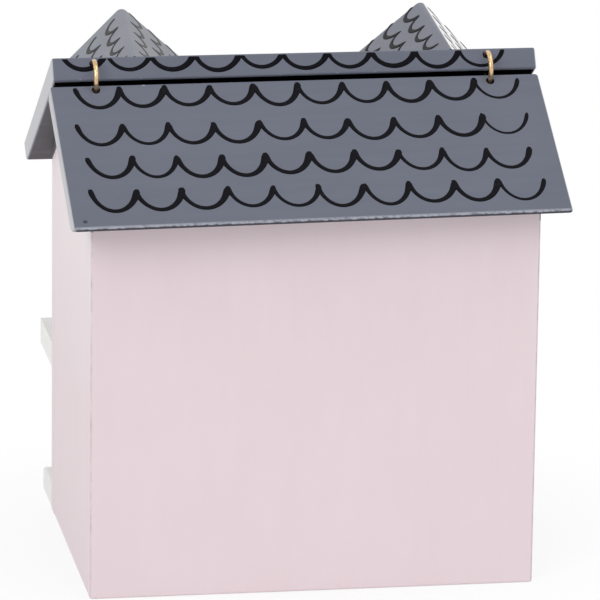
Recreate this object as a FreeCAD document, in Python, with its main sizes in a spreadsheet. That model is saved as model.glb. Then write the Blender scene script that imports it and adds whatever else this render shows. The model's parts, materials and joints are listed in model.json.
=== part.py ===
import FreeCAD, Part
import os
import Sketcher

os.makedirs("parts", exist_ok=True)
doc = FreeCAD.newDocument("money_box")
dims = doc.addObject("Spreadsheet::Sheet", "dims")

# House shell: painted board, gable ends between full-width front and back walls.
dims.set("A1", "5")
dims.setAlias("A1", "board")
dims.set("A2", "110")
dims.setAlias("A2", "wall_width")
dims.set("A3", "76")
dims.setAlias("A3", "wall_depth")
dims.set("A4", "31.2")
dims.setAlias("A4", "roof_pitch")
dims.set("A5", "119.5")
dims.setAlias("A5", "ridge_height")

# Roof: fixed front board that laps over the ridge, hinged rear board, both undercut at the eave.
dims.set("A6", "120.4")
dims.setAlias("A6", "roof_length")
dims.set("A7", "66.2")
dims.setAlias("A7", "front_slope")
dims.set("A65", "5.6")
dims.setAlias("A65", "front_thick")
dims.set("A8", "49.2")
dims.setAlias("A8", "lid_slope")
dims.set("A9", "2.15")
dims.setAlias("A9", "ridge_gap")
dims.set("A55", "45")
dims.setAlias("A55", "lid_mitre")
dims.set("A64", "22")
dims.setAlias("A64", "front_mitre")
dims.set("A61", "121.5")
dims.setAlias("A61", "lid_length")
dims.set("A62", "0.9")
dims.setAlias("A62", "lid_skew")
dims.set("A63", "0.5")
dims.setAlias("A63", "lid_shift")

# Brass wire rings that hinge the rear board.
dims.set("A10", "3.8")
dims.setAlias("A10", "ring_radius")
dims.set("A11", "1.2")
dims.setAlias("A11", "ring_wire")
dims.set("A12", "11.3")
dims.setAlias("A12", "ring_inset")
dims.set("A66", "1.1")
dims.setAlias("A66", "ring_shift")
dims.set("A13", "0.28")
dims.setAlias("A13", "bore_clearance")
dims.set("A56", "0.2")
dims.setAlias("A56", "hinge_lift")
dims.set("A57", "0.5")
dims.setAlias("A57", "hinge_stand")

# Coin slot through the front board, between the dormers.
dims.set("A14", "32")
dims.setAlias("A14", "slot_length")
dims.set("A15", "5")
dims.setAlias("A15", "slot_width")
dims.set("A16", "22")
dims.setAlias("A16", "slot_setback")

# Front step and balcony slab.
dims.set("A17", "6")
dims.setAlias("A17", "step_thick")
dims.set("A18", "18")
dims.setAlias("A18", "step_depth")
dims.set("A19", "6.5")
dims.setAlias("A19", "balcony_thick")
dims.set("A20", "23.8")
dims.setAlias("A20", "balcony_depth")
dims.set("A21", "44.4")
dims.setAlias("A21", "balcony_top")
dims.set("A22", "3")
dims.setAlias("A22", "dowel_diameter")
dims.set("A23", "12")
dims.setAlias("A23", "dowel_bite")
dims.set("A24", "40")
dims.setAlias("A24", "dowel_spacing")

# Dormers: solid cheek block, two mitred roof leaves and a window plate each.
dims.set("A25", "39.7")
dims.setAlias("A25", "dormer_spread_right")
dims.set("A58", "39.1")
dims.setAlias("A58", "dormer_spread_left")
dims.set("A26", "58.4")
dims.setAlias("A26", "dormer_length")
dims.set("A27", "0.1")
dims.setAlias("A27", "dormer_rise")
dims.set("A28", "0.19")
dims.setAlias("A28", "dormer_setback")
dims.set("A29", "43.4")
dims.setAlias("A29", "dormer_pitch")
dims.set("A30", "17")
dims.setAlias("A30", "dormer_half")
dims.set("A31", "3")
dims.setAlias("A31", "dormer_leaf")
dims.set("A32", "12")
dims.setAlias("A32", "dormer_block_half")
dims.set("A33", "5")
dims.setAlias("A33", "dormer_verge")
dims.set("A34", "-4.55")
dims.setAlias("A34", "dormer_turn_right")
dims.set("A35", "-3.5")
dims.setAlias("A35", "dormer_turn_left")
dims.set("A59", "2.2")
dims.setAlias("A59", "dormer_lean_right")
dims.set("A60", "-3.2")
dims.setAlias("A60", "dormer_lean_left")

# Applied joinery on the front: plates with shallow panes.
dims.set("A36", "1.5")
dims.setAlias("A36", "plate")
dims.set("A37", "0.7")
dims.setAlias("A37", "pane_depth")
dims.set("A38", "1.8")
dims.setAlias("A38", "glazing_bar")
dims.set("A39", "17")
dims.setAlias("A39", "door_width")
dims.set("A40", "28")
dims.setAlias("A40", "door_height")
dims.set("A41", "1.7")
dims.setAlias("A41", "knob_diameter")
dims.set("A42", "22")
dims.setAlias("A42", "low_window_width")
dims.set("A43", "16")
dims.setAlias("A43", "low_window_height")
dims.set("A44", "15")
dims.setAlias("A44", "low_window_sill")
dims.set("A45", "33")
dims.setAlias("A45", "low_window_x")
dims.set("A46", "20")
dims.setAlias("A46", "high_window_width")
dims.set("A47", "24")
dims.setAlias("A47", "high_window_height")
dims.set("A48", "57")
dims.setAlias("A48", "high_window_sill")
dims.set("A49", "32")
dims.setAlias("A49", "high_window_x")
dims.set("A50", "17")
dims.setAlias("A50", "balcony_door_width")
dims.set("A51", "37")
dims.setAlias("A51", "balcony_door_height")
dims.set("A52", "12")
dims.setAlias("A52", "dormer_window_width")
dims.set("A53", "13")
dims.setAlias("A53", "dormer_window_height")
dims.set("A54", "11")
dims.setAlias("A54", "dormer_window_drop")

# Roof profile points worked out from the sizes above.
dims.set("B1", "=board / sin(2 * roof_pitch)")
dims.setAlias("B1", "lap")
dims.set("B2", "=lap * cos(roof_pitch)")
dims.setAlias("B2", "edge_y")
dims.set("B3", "=ridge_height + lap * sin(roof_pitch)")
dims.setAlias("B3", "edge_z")
dims.set("B4", "=edge_y - front_thick * sin(roof_pitch)")
dims.setAlias("B4", "crest_y")
dims.set("B5", "=edge_z + front_thick * cos(roof_pitch)")
dims.setAlias("B5", "crest_z")
dims.set("B6", "=edge_y - hinge_lift * sin(roof_pitch) + hinge_stand * cos(roof_pitch)")
dims.setAlias("B6", "hinge_y")
dims.set("B7", "=edge_z + hinge_lift * cos(roof_pitch) + hinge_stand * sin(roof_pitch)")
dims.setAlias("B7", "hinge_z")
dims.set("B8", "=edge_y + ridge_gap * cos(roof_pitch)")
dims.setAlias("B8", "lid_y")
dims.set("B9", "=edge_z - ridge_gap * sin(roof_pitch)")
dims.setAlias("B9", "lid_z")
dims.set("B31", "=board * tan(lid_mitre)")
dims.setAlias("B31", "lid_mitre_run")
dims.set("B32", "=front_thick * tan(front_mitre)")
dims.setAlias("B32", "front_mitre_run")
dims.set("B10", "=wall_width / 2")
dims.setAlias("B10", "half_width")
dims.set("B11", "=wall_depth / 2")
dims.setAlias("B11", "half_depth")
dims.set("B12", "=wall_depth / 2 - board")
dims.setAlias("B12", "inner_half")
dims.set("B13", "=ridge_height - half_depth * tan(roof_pitch)")
dims.setAlias("B13", "plate_top")
dims.set("B14", "=ridge_height - inner_half * tan(roof_pitch)")
dims.setAlias("B14", "inner_top")
dims.set("B28", "=hinge_lift * cos(2 * roof_pitch) + hinge_stand * sin(2 * roof_pitch)")
dims.setAlias("B28", "hinge_height")
dims.set("B29", "=ridge_gap + hinge_lift * sin(2 * roof_pitch) - hinge_stand * cos(2 * roof_pitch)")
dims.setAlias("B29", "hinge_reach")
dims.set("B30", "=(acos(hinge_reach / ring_radius) - asin(hinge_height / ring_radius)) / 2 / 1 deg")
dims.setAlias("B30", "bore_swing")
dims.set("B15", "=roof_pitch + bore_swing + asin(hinge_height / ring_radius) / 1 deg")
dims.setAlias("B15", "bore_angle")
dims.set("B16", "=ring_radius * (1 - cos(bore_swing))")
dims.setAlias("B16", "bore_sag")
dims.set("B17", "=ring_radius - bore_sag / 2")
dims.setAlias("B17", "bore_offset")
dims.set("B18", "=ring_wire / 2 + bore_sag / 2 + bore_clearance")
dims.setAlias("B18", "bore_radius")
dims.set("B19", "=ring_radius * 1.5")
dims.setAlias("B19", "bore_half")
dims.set("B20", "=roof_length / 2 - ring_inset")
dims.setAlias("B20", "ring_x")
dims.set("B21", "=dormer_leaf / cos(dormer_pitch)")
dims.setAlias("B21", "leaf_drop")
dims.set("B22", "=dormer_half * tan(dormer_pitch)")
dims.setAlias("B22", "eave_drop")
dims.set("B23", "=leaf_drop + dormer_block_half * tan(dormer_pitch)")
dims.setAlias("B23", "cheek_drop")
dims.set("B24", "=crest_z + dormer_rise - plate_top")
dims.setAlias("B24", "block_depth")
dims.set("B25", "=dormer_length - dormer_verge")
dims.setAlias("B25", "block_length")
dims.set("B26", "=crest_y - dormer_setback")
dims.setAlias("B26", "dormer_y")
dims.set("B27", "=crest_z + dormer_rise")
dims.setAlias("B27", "dormer_z")
doc.recompute()


def bound(text):
    return text.replace("<", "dims.").replace(">", "")


def box(name, corner, lengths):
    item = doc.addObject("Part::Box", name)
    for prop, text in zip(("Length", "Width", "Height"), lengths):
        item.setExpression(prop, bound(text))
    for axis, text in zip("xyz", corner):
        item.setExpression("Placement.Base." + axis, bound(text))
    return item


def profile(name, role, points, start, along):
    body = doc.addObject("PartDesign::Body", name)
    plane = [f for f in body.Origin.OriginFeatures if f.Role == role][0]
    sketch = body.newObject("Sketcher::SketchObject", name + "_profile")
    sketch.AttachmentSupport = [(plane, "")]
    sketch.MapMode = "FlatFace"
    sketch.setExpression("AttachmentOffset.Base.z", bound(start))
    spots = []
    for across, up in points:
        px = float(sketch.evalExpression(bound(across)))
        py = float(sketch.evalExpression(bound(up)))
        spots.append(FreeCAD.Vector(px, py, 0))
    count = len(spots)
    for i in range(count):
        sketch.addGeometry(Part.LineSegment(spots[i], spots[(i + 1) % count]), False)
    for i in range(count):
        sketch.addConstraint(Sketcher.Constraint("Coincident", i, 2, (i + 1) % count, 1))
    for i in range(count):
        pairs = (("DistanceX", points[i][0], -2, spots[i].x), ("DistanceY", points[i][1], -1, spots[i].y))
        for kind, text, axis, value in pairs:
            if text == "0":
                sketch.addConstraint(Sketcher.Constraint("PointOnObject", i, 1, axis))
            else:
                index = sketch.addConstraint(Sketcher.Constraint(kind, i, 1, value))
                sketch.setExpression("Constraints[%d]" % index, bound(text))
    pad = body.newObject("PartDesign::Pad", name + "_pad")
    pad.Profile = sketch
    pad.setExpression("Length", bound(along))
    sketch.Visibility = False
    return body


def cut(name, base, tool):
    item = doc.addObject("Part::Cut", name)
    item.Base = base
    item.Tool = tool
    return item


def group(name, links):
    item = doc.addObject("Part::Compound", name)
    item.Links = links
    return item


# Floor panel lies inside the four walls, flush with their lower edges.
box(
    "floor_panel",
    ("-<half_width> + <board>", "-<inner_half>", "0"),
    ("<wall_width> - 2 * <board>", "2 * <inner_half>", "<board>"),
)

# Front and back walls run the full width; their tops are planed to the roof slope.
profile(
    "back_wall",
    "YZ_Plane",
    [("<inner_half>", "0"), ("<half_depth>", "0"), ("<half_depth>", "<plate_top>"), ("<inner_half>", "<inner_top>")],
    "-<half_width>",
    "<wall_width>",
)
front_wall_blank = profile(
    "front_wall_blank",
    "YZ_Plane",
    [
        ("-<half_depth>", "0"),
        ("-<inner_half>", "0"),
        ("-<inner_half>", "<inner_top>"),
        ("-<half_depth>", "<plate_top>"),
    ],
    "-<half_width>",
    "<wall_width>",
)

# Gable ends stand between the front and back walls and carry the ridge.
gable = [
    ("-<inner_half>", "0"),
    ("<inner_half>", "0"),
    ("<inner_half>", "<inner_top>"),
    ("0", "<ridge_height>"),
    ("-<inner_half>", "<inner_top>"),
]
profile("gable_wall_right", "YZ_Plane", gable, "<half_width> - <board>", "<board>")
profile("gable_wall_left", "YZ_Plane", gable, "-<half_width>", "<board>")

# Rings of brass wire, centred just proud of the ridge edge, above the gap.
rings = []
for side, sign in (("right", ""), ("left", "-")):
    ring = doc.addObject("Part::Torus", "hinge_ring_" + side)
    ring.setExpression("Radius1", bound("<ring_radius>"))
    ring.setExpression("Radius2", bound("<ring_wire> / 2"))
    ring.Placement = FreeCAD.Placement(FreeCAD.Vector(), FreeCAD.Rotation(FreeCAD.Vector(0, 1, 0), 90))
    ring.setExpression("Placement.Base.x", bound(sign + "<ring_x> + <ring_shift>"))
    ring.setExpression("Placement.Base.y", bound("<hinge_y>"))
    ring.setExpression("Placement.Base.z", bound("<hinge_z>"))
    rings.append(ring)

# Front roof board: square at the ridge, undercut at the eave, coin slot cut straight down, wire holes tight.
front_board_blank = profile(
    "front_board_blank",
    "YZ_Plane",
    [
        ("<edge_y>", "<edge_z>"),
        ("<crest_y>", "<crest_z>"),
        ("<crest_y> - <front_slope> * cos(<roof_pitch>)", "<crest_z> - <front_slope> * sin(<roof_pitch>)"),
        (
            "<edge_y> - (<front_slope> - <front_mitre_run>) * cos(<roof_pitch>)",
            "<edge_z> - (<front_slope> - <front_mitre_run>) * sin(<roof_pitch>)",
        ),
    ],
    "-<roof_length> / 2",
    "<roof_length>",
)
slot_tool = box(
    "slot_tool",
    ("-<slot_length> / 2", "-<slot_setback> - <slot_width> / 2", "<plate_top>"),
    ("<slot_length>", "<slot_width>", "<crest_z> - <plate_top>"),
)
front_board_tools = group("front_board_tools", [slot_tool] + rings)
cut("front_roof_board", front_board_blank, front_board_tools)

# Rear roof board, the lid: cut a little out of square, its top edge then trimmed true below the gap,
# undercut at the eave, a slanting bore for each ring.
lid_board = profile(
    "lid_board",
    "YZ_Plane",
    [
        ("-<board>", "0"),
        ("-<board>", "-<board>"),
        ("<lid_slope> - <lid_mitre_run>", "-<board>"),
        ("<lid_slope>", "0"),
    ],
    "-<lid_length> / 2",
    "<lid_length>",
)
lid_skewed = group("lid_skewed", [lid_board])
lid_skewed.Placement = FreeCAD.Placement(FreeCAD.Vector(), FreeCAD.Rotation(FreeCAD.Vector(0, 0, 1), 10))
lid_skewed.setExpression("Placement.Rotation.Angle", bound("<lid_skew>"))
lid_skewed.setExpression("Placement.Base.x", bound("<lid_shift>"))
lid_trim = box(
    "lid_trim",
    ("-<lid_length>", "-3 * <board>", "-2 * <board>"),
    ("2 * <lid_length>", "3 * <board>", "3 * <board>"),
)
lid_blank = group("lid_blank", [cut("lid_trimmed", lid_skewed, lid_trim)])
lid_blank.Placement = FreeCAD.Placement(FreeCAD.Vector(), FreeCAD.Rotation(FreeCAD.Vector(-1, 0, 0), 10))
lid_blank.setExpression("Placement.Rotation.Angle", bound("<roof_pitch>"))
lid_blank.setExpression("Placement.Base.y", bound("<lid_y>"))
lid_blank.setExpression("Placement.Base.z", bound("<lid_z>"))
bores = []
for side, sign in (("right", ""), ("left", "-")):
    bore = doc.addObject("Part::Cylinder", "bore_" + side)
    bore.setExpression("Radius", bound("<bore_radius>"))
    bore.setExpression("Height", bound("2 * <bore_half>"))
    bore.Placement = FreeCAD.Placement(FreeCAD.Vector(), FreeCAD.Rotation(FreeCAD.Vector(-1, 0, 0), 60))
    bore.setExpression("Placement.Rotation.Angle", bound("<bore_angle>"))
    bore.setExpression("Placement.Base.x", bound(sign + "<ring_x> + <ring_shift>"))
    along = "<hinge_y> + <bore_offset> * cos(<bore_angle>) - <bore_half> * sin(<bore_angle>)"
    rise = "<hinge_z> - <bore_offset> * sin(<bore_angle>) - <bore_half> * cos(<bore_angle>)"
    bore.setExpression("Placement.Base.y", bound(along))
    bore.setExpression("Placement.Base.z", bound(rise))
    bores.append(bore)
lid_tools = group("lid_tools", bores)
cut("rear_roof_lid", lid_blank, lid_tools)

# Step on the ground and balcony slab above it, both as wide as the front wall.
box(
    "front_step",
    ("-<half_width>", "-<half_depth> - <step_depth>", "0"),
    ("<wall_width>", "<step_depth>", "<step_thick>"),
)
balcony_blank = box(
    "balcony_blank",
    ("-<half_width>", "-<half_depth> - <balcony_depth>", "<balcony_top> - <balcony_thick>"),
    ("<wall_width>", "<balcony_depth>", "<balcony_thick>"),
)

# Dowels that carry the balcony slab from the front wall.
dowels = []
for index, sign in (("one", "-1"), ("two", "0"), ("three", "1")):
    dowel = doc.addObject("Part::Cylinder", "dowel_" + index)
    dowel.setExpression("Radius", bound("<dowel_diameter> / 2"))
    dowel.setExpression("Height", bound("<board> + <dowel_bite>"))
    dowel.Placement = FreeCAD.Placement(FreeCAD.Vector(), FreeCAD.Rotation(FreeCAD.Vector(1, 0, 0), 90))
    dowel.setExpression("Placement.Base.x", bound(sign + " * <dowel_spacing>"))
    dowel.setExpression("Placement.Base.y", bound("-<inner_half>"))
    dowel.setExpression("Placement.Base.z", bound("<balcony_top> - <balcony_thick> / 2"))
    dowels.append(dowel)
balcony_dowels = group("balcony_dowels", dowels)
cut("front_wall", front_wall_blank, balcony_dowels)
cut("balcony_slab", balcony_blank, balcony_dowels)


# Plate with shallow panes: columns by rows of panes divided by bars.
def plate(name, left, front, foot, width, height, columns, rows):
    blank = box(name + "_blank", (left, front + " - <plate>", foot), (width, "<plate>", height))
    panes = []
    for i in range(columns):
        for j in range(rows):
            across = "((%s) - %d * <glazing_bar>) / %d" % (width, columns + 1, columns)
            up = "((%s) - %d * <glazing_bar>) / %d" % (height, rows + 1, rows)
            pane = box(
                "%s_pane_%d_%d" % (name, i, j),
                (
                    "%s + <glazing_bar> + %d * (%s + <glazing_bar>)" % (left, i, across),
                    front + " - <plate>",
                    "%s + <glazing_bar> + %d * (%s + <glazing_bar>)" % (foot, j, up),
                ),
                (across, "<pane_depth>", up),
            )
            panes.append(pane)
    return cut(name, blank, group(name + "_panes", panes))


wall_face = "-<half_depth>"
plate("front_door", "-<door_width> / 2", wall_face, "<step_thick>", "<door_width>", "<door_height>", 2, 3)
plate(
    "balcony_door",
    "-<balcony_door_width> / 2",
    wall_face,
    "<balcony_top>",
    "<balcony_door_width>",
    "<balcony_door_height>",
    2,
    4,
)
for side, sign in (("right", ""), ("left", "-")):
    plate(
        "lower_window_" + side,
        sign + "<low_window_x> - <low_window_width> / 2",
        wall_face,
        "<low_window_sill>",
        "<low_window_width>",
        "<low_window_height>",
        3,
        2,
    )
    plate(
        "upper_window_" + side,
        sign + "<high_window_x> - <high_window_width> / 2",
        wall_face,
        "<high_window_sill>",
        "<high_window_width>",
        "<high_window_height>",
        2,
        2,
    )

# Brass knob on the door's closing stile.
knob = doc.addObject("Part::Sphere", "door_knob_ball")
knob.setExpression("Radius", bound("<knob_diameter> / 2"))
knob.setExpression("Placement.Base.x", bound("<door_width> / 2 - <glazing_bar> / 2"))
knob.setExpression("Placement.Base.y", bound("-<half_depth> - <plate>"))
knob.setExpression("Placement.Base.z", bound("<step_thick> + <door_height> * 0.45"))

# Dormers are made square, set by hand with a small lean and turn, and scribed to the roof slope.
below_roof = profile(
    "below_roof",
    "YZ_Plane",
    [
        ("<edge_y> + <board>", "0"),
        ("<edge_y> + <board>", "<crest_z> + (<edge_y> + <board> - <crest_y>) * tan(<roof_pitch>)"),
        ("-<wall_depth>", "<crest_z> - (<wall_depth> + <crest_y>) * tan(<roof_pitch>)"),
        ("-<wall_depth>", "0"),
    ],
    "-<wall_width>",
    "2 * <wall_width>",
)


def leaf(name, sign):
    return profile(
        name,
        "XZ_Plane",
        [
            ("0", "0"),
            (sign + "<dormer_half>", "-<eave_drop>"),
            (
                "%s(<dormer_half> - <dormer_leaf> * sin(<dormer_pitch>))" % sign,
                "-<eave_drop> - <dormer_leaf> * cos(<dormer_pitch>)",
            ),
            ("0", "-<leaf_drop>"),
        ],
        "0",
        "<dormer_length>",
    )


def stand(name, parts, side, sign):
    leaning = group(name + "_leaning", parts)
    leaning.Placement = FreeCAD.Placement(FreeCAD.Vector(), FreeCAD.Rotation(FreeCAD.Vector(0, 1, 0), 10))
    leaning.setExpression("Placement.Rotation.Angle", bound("<dormer_lean_%s>" % side))
    item = group(name, [leaning])
    item.Placement = FreeCAD.Placement(FreeCAD.Vector(), FreeCAD.Rotation(FreeCAD.Vector(0, 0, 1), 10))
    item.setExpression("Placement.Rotation.Angle", bound("<dormer_turn_%s>" % side))
    item.setExpression("Placement.Base.x", bound(sign + "<dormer_spread_%s>" % side))
    item.setExpression("Placement.Base.y", bound("<dormer_y>"))
    item.setExpression("Placement.Base.z", bound("<dormer_z>"))
    return item


for side, sign, outer, inner in (("right", "", "", "-"), ("left", "-", "-", "")):
    block = profile(
        "block_" + side,
        "XZ_Plane",
        [
            ("-<dormer_block_half>", "-<block_depth>"),
            ("<dormer_block_half>", "-<block_depth>"),
            ("<dormer_block_half>", "-<cheek_drop>"),
            ("0", "-<leaf_drop>"),
            ("-<dormer_block_half>", "-<cheek_drop>"),
        ],
        "0",
        "<block_length>",
    )
    pieces = (
        ("dormer_block_" + side, block),
        ("dormer_leaf_outer_" + side, leaf("outer_" + side, outer)),
        ("dormer_leaf_inner_" + side, leaf("inner_" + side, inner)),
    )
    for name, piece in pieces:
        cut(name, stand(name + "_turned", [piece], side, sign), below_roof)
    pane = plate(
        "glazing_" + side,
        "-<dormer_window_width> / 2",
        "-<block_length>",
        "-<dormer_window_drop> - <dormer_window_height>",
        "<dormer_window_width>",
        "<dormer_window_height>",
        2,
        2,
    )
    stand("dormer_window_" + side, [pane], side, sign)

doc.recompute()
cut("door_knob", knob, doc.getObject("front_door"))
doc.recompute()

NODES = [
    "floor_panel",
    "back_wall",
    "front_wall",
    "gable_wall_right",
    "gable_wall_left",
    "front_roof_board",
    "rear_roof_lid",
    "hinge_ring_right",
    "hinge_ring_left",
    "front_step",
    "balcony_slab",
    "balcony_dowels",
    "front_door",
    "door_knob",
    "balcony_door",
    "lower_window_right",
    "lower_window_left",
    "upper_window_right",
    "upper_window_left",
    "dormer_block_right",
    "dormer_leaf_outer_right",
    "dormer_leaf_inner_right",
    "dormer_window_right",
    "dormer_block_left",
    "dormer_leaf_outer_left",
    "dormer_leaf_inner_left",
    "dormer_window_left",
]
for item in doc.Objects:
    if "Invalid" in item.State or "Error" in item.State:
        raise RuntimeError("not built: " + item.Name)
for name in NODES:
    node = doc.getObject(name)
    node.Label = name
    if node.Shape.isNull() or not node.Shape.isValid():
        raise RuntimeError("bad shape: " + name)
    node.Shape.exportStep("parts/%s.step" % name)
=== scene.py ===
import bmesh
import bpy
import json
import math
from mathutils import Matrix, Vector


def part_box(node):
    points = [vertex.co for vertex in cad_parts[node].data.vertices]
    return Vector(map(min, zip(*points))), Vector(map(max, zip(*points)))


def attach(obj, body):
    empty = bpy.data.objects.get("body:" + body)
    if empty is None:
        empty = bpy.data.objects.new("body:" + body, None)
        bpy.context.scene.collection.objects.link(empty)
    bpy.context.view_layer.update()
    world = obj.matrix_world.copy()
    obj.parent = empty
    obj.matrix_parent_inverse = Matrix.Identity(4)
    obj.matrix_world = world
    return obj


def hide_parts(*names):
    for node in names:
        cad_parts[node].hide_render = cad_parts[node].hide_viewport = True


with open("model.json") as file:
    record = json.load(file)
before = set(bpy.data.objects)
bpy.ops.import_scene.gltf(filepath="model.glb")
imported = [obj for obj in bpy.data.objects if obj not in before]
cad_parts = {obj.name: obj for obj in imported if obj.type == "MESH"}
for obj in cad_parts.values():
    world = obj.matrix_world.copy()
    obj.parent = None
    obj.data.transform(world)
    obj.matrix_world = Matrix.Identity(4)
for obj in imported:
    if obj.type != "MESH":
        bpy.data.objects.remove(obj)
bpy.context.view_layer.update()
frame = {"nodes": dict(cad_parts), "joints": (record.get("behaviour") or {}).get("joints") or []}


# Floor panel: a bare 5 mm board let in between the walls, flush with their lower edges.
# It is glued all round and was never painted, so the wood's figure shows inside the box.
def group_tree(name, inputs, outputs):
    tree = bpy.data.node_groups.new(name, "ShaderNodeTree")
    for socket, kind in inputs:
        tree.interface.new_socket(socket, in_out="INPUT", socket_type=kind)
    for socket, kind in outputs:
        tree.interface.new_socket(socket, in_out="OUTPUT", socket_type=kind)
    return tree, tree.nodes.new("NodeGroupInput"), tree.nodes.new("NodeGroupOutput")


def add(tree, kind, links=(), **values):
    node = tree.nodes.new(kind)
    for key, value in values.items():
        if key.startswith("in_"):
            node.inputs[int(key[3:])].default_value = value
        else:
            setattr(node, key, value)
    for index, source in links:
        tree.links.new(source, node.inputs[index])
    return node


def reckon(tree, operation, *terms, clamp=False):
    node = tree.nodes.new("ShaderNodeMath")
    node.operation = operation
    node.use_clamp = clamp
    for index, term in enumerate(terms):
        if isinstance(term, (int, float)):
            node.inputs[index].default_value = term
        else:
            tree.links.new(term, node.inputs[index])
    return node.outputs[0]


def noise(tree, place, scale, detail=2.0, rough=0.5):
    return add(tree, "ShaderNodeTexNoise", [(0, place)], in_2=scale, in_3=detail, in_4=rough).outputs[0]


def roughen(tree, shader, height, strength, depth):
    bump = add(tree, "ShaderNodeBump", [(3, height)], in_0=strength, in_1=depth)
    tree.links.new(bump.outputs[0], shader.inputs["Normal"])


def blend_colour(tree, mask, under, over):
    node = tree.nodes.new("ShaderNodeMix")
    node.data_type = "RGBA"
    for index, term in ((0, mask), (6, under), (7, over)):
        if isinstance(term, (int, float, tuple)):
            node.inputs[index].default_value = term
        else:
            tree.links.new(term, node.inputs[index])
    return node.outputs[2]


def srgb(red, green, blue):
    levels = [level / 255 for level in (red, green, blue)]
    linear = [v / 12.92 if v <= 0.04045 else ((v + 0.055) / 1.055) ** 2.4 for v in levels]
    return (*linear, 1.0)


def new_material(name):
    material = bpy.data.materials.new(name)
    material.use_nodes = True
    tree = material.node_tree
    place = add(tree, "ShaderNodeTexCoord").outputs["Object"]
    return material, tree, tree.nodes["Principled BSDF"], place


def bare_wood(name, light, dark, figure_scale):
    material, tree, shader, place = new_material(name)
    grain = add(tree, "ShaderNodeMapping", [(0, place)], in_3=figure_scale).outputs[0]
    figure = noise(tree, grain, 1.0, 5.0, 0.62)
    pores = noise(tree, grain, 6.0)
    tone = reckon(tree, "MULTIPLY_ADD", figure, 3.0, -1.05, clamp=True)
    tree.links.new(blend_colour(tree, tone, dark, light), shader.inputs["Base Color"])
    tree.links.new(reckon(tree, "MULTIPLY_ADD", pores, 0.25, 0.55), shader.inputs["Roughness"])
    roughen(tree, shader, pores, 0.25, 0.0003)
    return material


def dress(node, material):
    slots = frame["nodes"][node].data.materials
    slots.clear()
    slots.append(material)


floor_light, floor_dark = srgb(205, 176, 138), srgb(160, 124, 86)
floor_grain = (30, 300, 300)
dress("floor_panel", bare_wood("bare_floor_board", floor_light, floor_dark, floor_grain))


# Walls: pale pink satin paint on board, put on after the corners were butted and glued.
# Corners are eased, rub through to the ground in a few chips and hold a grey line of dirt.
# The outsides are painted lighter towards the top as a painted highlight, and a band of painted shade in
# roof grey lies under the roof line.
def settle(piece):
    bpy.context.view_layer.update()
    seen = piece.evaluated_get(bpy.context.evaluated_depsgraph_get())
    finished = bpy.data.meshes.new_from_object(seen)
    piece.modifiers.clear()
    piece.data = finished
    return piece


def ease(piece, radius):
    rounding = piece.modifiers.new("rounding", "BEVEL")
    rounding.width = radius
    rounding.segments = 3
    rounding.limit_method = "ANGLE"
    rounding.angle_limit = math.radians(25)
    piece.modifiers.new("flat_faces", "WEIGHTED_NORMAL")
    return settle(piece)


def shaped(name, form):
    for face in form.faces:
        face.smooth = True
    mesh = bpy.data.meshes.new(name)
    form.to_mesh(mesh)
    form.free()
    piece = bpy.data.objects.new(name, mesh)
    bpy.context.scene.collection.objects.link(piece)
    return piece


def whole_faces(node):
    form = bmesh.new()
    form.from_mesh(frame["nodes"][node].data)
    bmesh.ops.remove_doubles(form, verts=form.verts, dist=2e-6)
    bmesh.ops.dissolve_limit(form, angle_limit=math.radians(0.5), verts=form.verts, edges=form.edges)
    return form


def stand_for(piece, nodes, body, slot, material):
    piece.data.materials.clear()
    piece.data.materials.append(material)
    for face in piece.data.polygons:
        face.material_index = 0
    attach(piece, body)
    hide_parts(*nodes)


brushed_paint, given, made = group_tree(
    "brushed_paint",
    [
        ("Place", "NodeSocketVector"),
        ("Strokes", "NodeSocketVector"),
        ("Colour", "NodeSocketColor"),
        ("Thin", "NodeSocketColor"),
        ("Gloss", "NodeSocketFloat"),
    ],
    [("Colour", "NodeSocketColor"), ("Roughness", "NodeSocketFloat"), ("Height", "NodeSocketFloat")],
)
place = given.outputs["Place"]
drawn_out = [(0, place), (1, given.outputs["Strokes"])]
streak_place = add(brushed_paint, "ShaderNodeVectorMath", drawn_out, operation="MULTIPLY").outputs[0]
streaks = noise(brushed_paint, streak_place, 1.0, 4.0)
clouds = noise(brushed_paint, place, 45.0, 3.0)
grit = noise(brushed_paint, place, 2600.0)
cover = reckon(brushed_paint, "ADD", streaks, clouds)
cover = reckon(brushed_paint, "MULTIPLY_ADD", cover, 1.6, -1.1, clamp=True)
coat = blend_colour(brushed_paint, cover, given.outputs["Thin"], given.outputs["Colour"])
brushed_paint.links.new(coat, made.inputs["Colour"])
sheen = reckon(brushed_paint, "MULTIPLY_ADD", grit, 0.08, -0.11)
sheen = reckon(brushed_paint, "MULTIPLY_ADD", clouds, 0.14, sheen)
sheen = reckon(brushed_paint, "ADD", given.outputs["Gloss"], sheen)
brushed_paint.links.new(sheen, made.inputs["Roughness"])
brush_marks = reckon(brushed_paint, "MULTIPLY_ADD", grit, 0.35, streaks)
brushed_paint.links.new(brush_marks, made.inputs["Height"])

rubbed_edge, given, made = group_tree(
    "rubbed_edge",
    [
        ("Place", "NodeSocketVector"),
        ("Half", "NodeSocketVector"),
        ("Width", "NodeSocketFloat"),
        ("Amount", "NodeSocketFloat"),
    ],
    [("Rub", "NodeSocketFloat")],
)
place = given.outputs["Place"]
reach = add(rubbed_edge, "ShaderNodeVectorMath", [(0, place)], operation="ABSOLUTE").outputs[0]
inset = [(0, given.outputs["Half"]), (1, reach)]
depth = add(rubbed_edge, "ShaderNodeVectorMath", inset, operation="SUBTRACT").outputs[0]
across, along, up = add(rubbed_edge, "ShaderNodeSeparateXYZ", [(0, depth)]).outputs
least = reckon(rubbed_edge, "MINIMUM", across, along)
most = reckon(rubbed_edge, "MAXIMUM", across, along)
second = reckon(rubbed_edge, "MAXIMUM", least, reckon(rubbed_edge, "MINIMUM", most, up))
near = reckon(rubbed_edge, "DIVIDE", second, given.outputs["Width"])
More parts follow.
